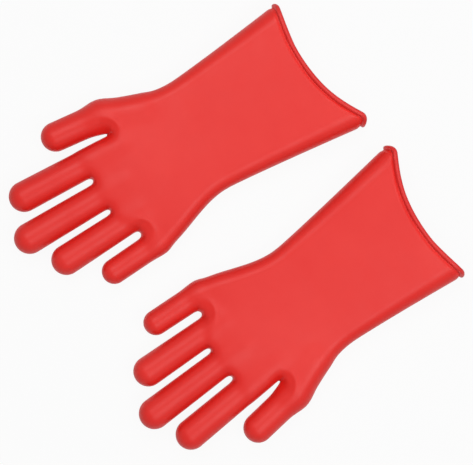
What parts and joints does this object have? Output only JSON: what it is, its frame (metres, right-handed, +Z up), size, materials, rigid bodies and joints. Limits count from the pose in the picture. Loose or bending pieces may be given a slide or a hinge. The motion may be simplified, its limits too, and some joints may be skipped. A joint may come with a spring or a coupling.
{
  "type": "electrical insulating gloves",
  "caption": "Pair of long-cuffed insulating rubber gloves lying palms up, with fingers, thumbs and wrists that bend.",
  "frame": {"origin": "on the surface the pair lies on, at the centre of the pair's outline seen from above", "axes": "+Z up, out of the palms; +Y towards the fingertips; +X towards the right glove"},
  "size_m": [0.393, 0.3747, 0.042],
  "materials": {
    "rubber": "satin moulded rubber",
    "rolled_rim": "satin rolled rubber edge"
  },
  "bodies": {
    "left_gauntlet": {"left_gauntlet": "rubber", "left_cuff_bead": "rolled_rim"},
    "left_palm": {"left_palm": "rubber"},
    "left_thumb_proximal": {"left_thumb_proximal": "rubber"},
    "left_thumb_distal": {"left_thumb_distal": "rubber"},
    "left_index_proximal": {"left_index_proximal": "rubber"},
    "left_index_middle": {"left_index_middle": "rubber"},
    "left_index_distal": {"left_index_distal": "rubber"},
    "left_middle_proximal": {"left_middle_proximal": "rubber"},
    "left_middle_middle": {"left_middle_middle": "rubber"},
    "left_middle_distal": {"left_middle_distal": "rubber"},
    "left_ring_proximal": {"left_ring_proximal": "rubber"},
    "left_ring_middle": {"left_ring_middle": "rubber"},
    "left_ring_distal": {"left_ring_distal": "rubber"},
    "left_little_proximal": {"left_little_proximal": "rubber"},
    "left_little_middle": {"left_little_middle": "rubber"},
    "left_little_distal": {"left_little_distal": "rubber"},
    "right_gauntlet": {"right_gauntlet": "rubber", "right_cuff_bead": "rolled_rim"},
    "right_palm": {"right_palm": "rubber"},
    "right_thumb_proximal": {"right_thumb_proximal": "rubber"},
    "right_thumb_distal": {"right_thumb_distal": "rubber"},
    "right_index_proximal": {"right_index_proximal": "rubber"},
    "right_index_middle": {"right_index_middle": "rubber"},
    "right_index_distal": {"right_index_distal": "rubber"},
    "right_middle_proximal": {"right_middle_proximal": "rubber"},
    "right_middle_middle": {"right_middle_middle": "rubber"},
    "right_middle_distal": {"right_middle_distal": "rubber"},
    "right_ring_proximal": {"right_ring_proximal": "rubber"},
    "right_ring_middle": {"right_ring_middle": "rubber"},
    "right_ring_distal": {"right_ring_distal": "rubber"},
    "right_little_proximal": {"right_little_proximal": "rubber"},
    "right_little_middle": {"right_little_middle": "rubber"},
    "right_little_distal": {"right_little_distal": "rubber"}
  },
  "joints": [
    {"name": "right_glove_lift", "type": "slide", "parent": "left_gauntlet", "child": "right_gauntlet", "axis": [0, 0, 1], "range_m": [0, 0.2]},
    {"name": "left_wrist_flex", "type": "hinge", "parent": "left_gauntlet", "child": "left_palm", "pos_m": [-0.0984, -0.03919, 0.022], "axis": [0.9975, 0.071, 0], "range_deg": [0, 40], "stiffness_Nm_per_rad": 1.2},
    {"name": "left_thumb_base_flex", "type": "hinge", "parent": "left_palm", "child": "left_thumb_proximal", "pos_m": [-0.17554, 0.04952, 0.0258], "axis": [0.9875, 0.1576, 0], "range_deg": [0, 40], "stiffness_Nm_per_rad": 0.25},
    {"name": "left_thumb_tip_flex", "type": "hinge", "parent": "left_thumb_proximal", "child": "left_thumb_distal", "pos_m": [-0.17943, 0.07393, 0.0258], "axis": [0.9875, 0.1576, 0], "range_deg": [0, 50], "stiffness_Nm_per_rad": 0.25},
    {"name": "left_index_knuckle_flex", "type": "hinge", "parent": "left_palm", "child": "left_index_proximal", "pos_m": [-0.14236, 0.08901, 0.0242], "axis": [0.9948, 0.1023, 0], "range_deg": [0, 60], "stiffness_Nm_per_rad": 0.25},
    {"name": "left_index_middle_flex", "type": "hinge", "parent": "left_index_proximal", "child": "left_index_middle", "pos_m": [-0.14519, 0.11661, 0.0242], "axis": [0.9948, 0.1023, 0], "range_deg": [0, 70], "stiffness_Nm_per_rad": 0.25},
    {"name": "left_index_end_flex", "type": "hinge", "parent": "left_index_middle", "child": "left_index_distal", "pos_m": [-0.14751, 0.13912, 0.0242], "axis": [0.9948, 0.1023, 0], "range_deg": [0, 45]},
    {"name": "left_middle_knuckle_flex", "type": "hinge", "parent": "left_palm", "child": "left_middle_proximal", "pos_m": [-0.10555, 0.09164, 0.0243], "axis": [0.9984, 0.057, 0], "range_deg": [0, 60], "stiffness_Nm_per_rad": 0.25},
    {"name": "left_middle_middle_flex", "type": "hinge", "parent": "left_middle_proximal", "child": "left_middle_middle", "pos_m": [-0.10749, 0.12559, 0.0243], "axis": [0.9984, 0.057, 0], "range_deg": [0, 70], "stiffness_Nm_per_rad": 0.25},
    {"name": "left_middle_end_flex", "type": "hinge", "parent": "left_middle_middle", "child": "left_middle_distal", "pos_m": [-0.10907, 0.15329, 0.0243], "axis": [0.9984, 0.057, 0], "range_deg": [0, 45]},
    {"name": "left_ring_knuckle_flex", "type": "hinge", "parent": "left_palm", "child": "left_ring_proximal", "pos_m": [-0.06978, 0.09416, 0.0238], "axis": [0.9999, 0.0152, 0], "range_deg": [0, 60], "stiffness_Nm_per_rad": 0.25},
    {"name": "left_ring_middle_flex", "type": "hinge", "parent": "left_ring_proximal", "child": "left_ring_middle", "pos_m": [-0.07017, 0.11981, 0.0238], "axis": [0.9999, 0.0152, 0], "range_deg": [0, 70], "stiffness_Nm_per_rad": 0.25},
    {"name": "left_ring_end_flex", "type": "hinge", "parent": "left_ring_middle", "child": "left_ring_distal", "pos_m": [-0.07049, 0.14073, 0.0238], "axis": [0.9999, 0.0152, 0], "range_deg": [0, 45]},
    {"name": "left_little_knuckle_flex", "type": "hinge", "parent": "left_palm", "child": "left_little_proximal", "pos_m": [-0.03377, 0.08167, 0.0198], "axis": [1, -0.0058, 0], "range_deg": [0, 60], "stiffness_Nm_per_rad": 0.25},
    {"name": "left_little_middle_flex", "type": "hinge", "parent": "left_little_proximal", "child": "left_little_middle", "pos_m": [-0.03368, 0.0982, 0.0198], "axis": [1, -0.0058, 0], "range_deg": [0, 70], "stiffness_Nm_per_rad": 0.25},
    {"name": "left_little_end_flex", "type": "hinge", "parent": "left_little_middle", "child": "left_little_distal", "pos_m": [-0.0336, 0.11169, 0.0198], "axis": [1, -0.0058, 0], "range_deg": [0, 45]},
    {"name": "right_wrist_flex", "type": "hinge", "parent": "right_gauntlet", "child": "right_palm", "pos_m": [0.0984, -0.03309, 0.022], "axis": [0.9975, -0.071, 0], "range_deg": [0, 40], "stiffness_Nm_per_rad": 1.2},
    {"name": "right_thumb_base_flex", "type": "hinge", "parent": "right_palm", "child": "right_thumb_proximal", "pos_m": [0.17554, 0.05562, 0.0258], "axis": [0.9875, -0.1576, 0], "range_deg": [0, 40], "stiffness_Nm_per_rad": 0.25},
    {"name": "right_thumb_tip_flex", "type": "hinge", "parent": "right_thumb_proximal", "child": "right_thumb_distal", "pos_m": [0.17943, 0.08003, 0.0258], "axis": [0.9875, -0.1576, 0], "range_deg": [0, 50], "stiffness_Nm_per_rad": 0.25},
    {"name": "right_index_knuckle_flex", "type": "hinge", "parent": "right_palm", "child": "right_index_proximal", "pos_m": [0.14236, 0.09511, 0.0242], "axis": [0.9948, -0.1023, 0], "range_deg": [0, 60], "stiffness_Nm_per_rad": 0.25},
    {"name": "right_index_middle_flex", "type": "hinge", "parent": "right_index_proximal", "child": "right_index_middle", "pos_m": [0.14519, 0.12271, 0.0242], "axis": [0.9948, -0.1023, 0], "range_deg": [0, 70], "stiffness_Nm_per_rad": 0.25},
    {"name": "right_index_end_flex", "type": "hinge", "parent": "right_index_middle", "child": "right_index_distal", "pos_m": [0.14751, 0.14522, 0.0242], "axis": [0.9948, -0.1023, 0], "range_deg": [0, 45]},
    {"name": "right_middle_knuckle_flex", "type": "hinge", "parent": "right_palm", "child": "right_middle_proximal", "pos_m": [0.10555, 0.09774, 0.0243], "axis": [0.9984, -0.057, 0], "range_deg": [0, 60], "stiffness_Nm_per_rad": 0.25},
    {"name": "right_middle_middle_flex", "type": "hinge", "parent": "right_middle_proximal", "child": "right_middle_middle", "pos_m": [0.10749, 0.13169, 0.0243], "axis": [0.9984, -0.057, 0], "range_deg": [0, 70], "stiffness_Nm_per_rad": 0.25},
    {"name": "right_middle_end_flex", "type": "hinge", "parent": "right_middle_middle", "child": "right_middle_distal", "pos_m": [0.10907, 0.15939, 0.0243], "axis": [0.9984, -0.057, 0], "range_deg": [0, 45]},
    {"name": "right_ring_knuckle_flex", "type": "hinge", "parent": "right_palm", "child": "right_ring_proximal", "pos_m": [0.06978, 0.10027, 0.0238], "axis": [0.9999, -0.0152, 0], "range_deg": [0, 60], "stiffness_Nm_per_rad": 0.25},
    {"name": "right_ring_middle_flex", "type": "hinge", "parent": "right_ring_proximal", "child": "right_ring_middle", "pos_m": [0.07017, 0.12591, 0.0238], "axis": [0.9999, -0.0152, 0], "range_deg": [0, 70], "stiffness_Nm_per_rad": 0.25},
    {"name": "right_ring_end_flex", "type": "hinge", "parent": "right_ring_middle", "child": "right_ring_distal", "pos_m": [0.07049, 0.14683, 0.0238], "axis": [0.9999, -0.0152, 0], "range_deg": [0, 45]},
    {"name": "right_little_knuckle_flex", "type": "hinge", "parent": "right_palm", "child": "right_little_proximal", "pos_m": [0.03377, 0.08777, 0.0198], "axis": [1, 0.0058, 0], "range_deg": [0, 60], "stiffness_Nm_per_rad": 0.25},
    {"name": "right_little_middle_flex", "type": "hinge", "parent": "right_little_proximal", "child": "right_little_middle", "pos_m": [0.03368, 0.1043, 0.0198], "axis": [1, 0.0058, 0], "range_deg": [0, 70], "stiffness_Nm_per_rad": 0.25},
    {"name": "right_little_end_flex", "type": "hinge", "parent": "right_little_middle", "child": "right_little_distal", "pos_m": [0.0336, 0.11779, 0.0198], "axis": [1, 0.0058, 0], "range_deg": [0, 45]}
  ],
  "couplings": [
    {"joint": "left_index_end_flex", "follows": "left_index_middle_flex", "ratio": 0.64286},
    {"joint": "left_middle_end_flex", "follows": "left_middle_middle_flex", "ratio": 0.64286},
    {"joint": "left_ring_end_flex", "follows": "left_ring_middle_flex", "ratio": 0.64286},
    {"joint": "left_little_end_flex", "follows": "left_little_middle_flex", "ratio": 0.64286},
    {"joint": "right_index_end_flex", "follows": "right_index_middle_flex", "ratio": 0.64286},
    {"joint": "right_middle_end_flex", "follows": "right_middle_middle_flex", "ratio": 0.64286},
    {"joint": "right_ring_end_flex", "follows": "right_ring_middle_flex", "ratio": 0.64286},
    {"joint": "right_little_end_flex", "follows": "right_little_middle_flex", "ratio": 0.64286}
  ]
}
